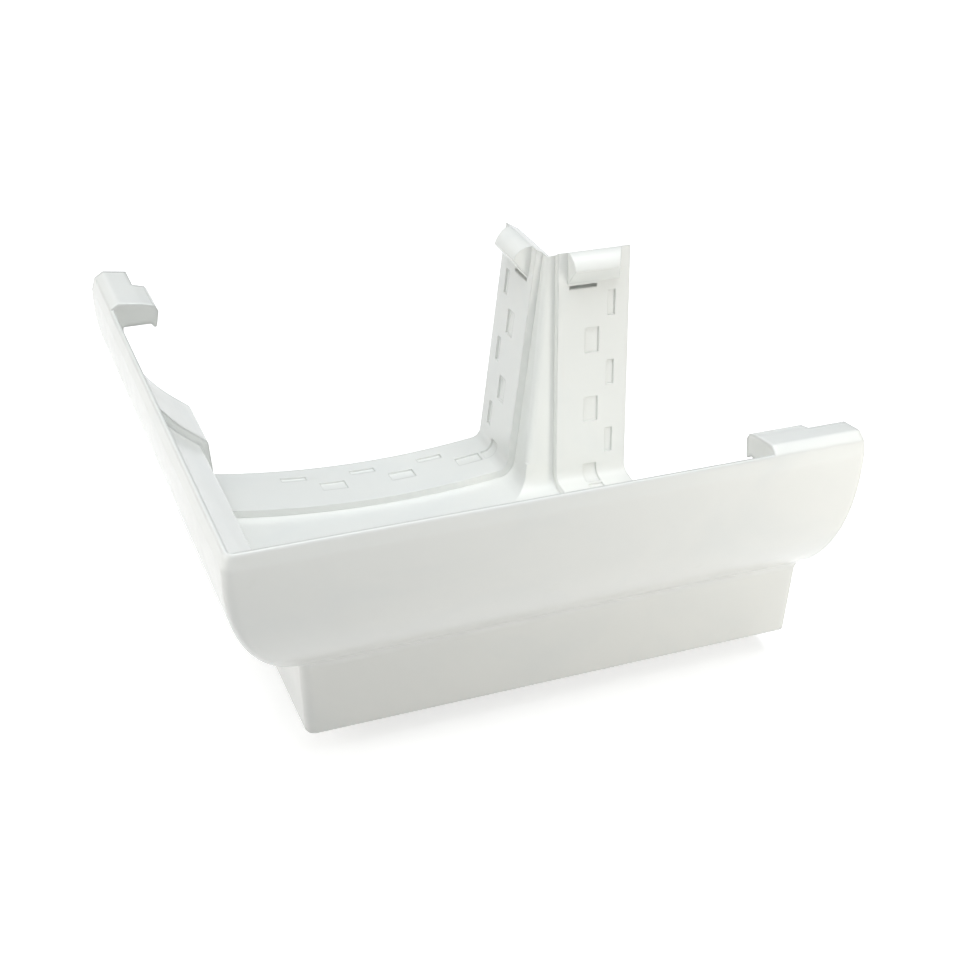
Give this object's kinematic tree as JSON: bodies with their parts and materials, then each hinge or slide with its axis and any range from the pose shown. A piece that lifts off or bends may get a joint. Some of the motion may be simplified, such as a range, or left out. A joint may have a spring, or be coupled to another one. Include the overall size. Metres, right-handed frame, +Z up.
{
  "type": "external gutter corner",
  "caption": "White moulded corner for an ogee roof gutter: a right-angled trough with a bulged front over a plain plinth, raised socket bands, front hooks and rear clips at both leg ends.",
  "frame": {"origin": "on the upright line where the inner faces of the two back walls meet at their tops, level with the bottom edge of the front plinth", "axes": "+X out along one leg, +Y out along the other leg, +Z up"},
  "size_m": [0.1557, 0.1557, 0.0803],
  "materials": {
    "upvc": "satin-gloss white uPVC as moulded"
  },
  "bodies": {
    "root": {"gutter_corner": "upvc"}
  },
  "joints": []
}
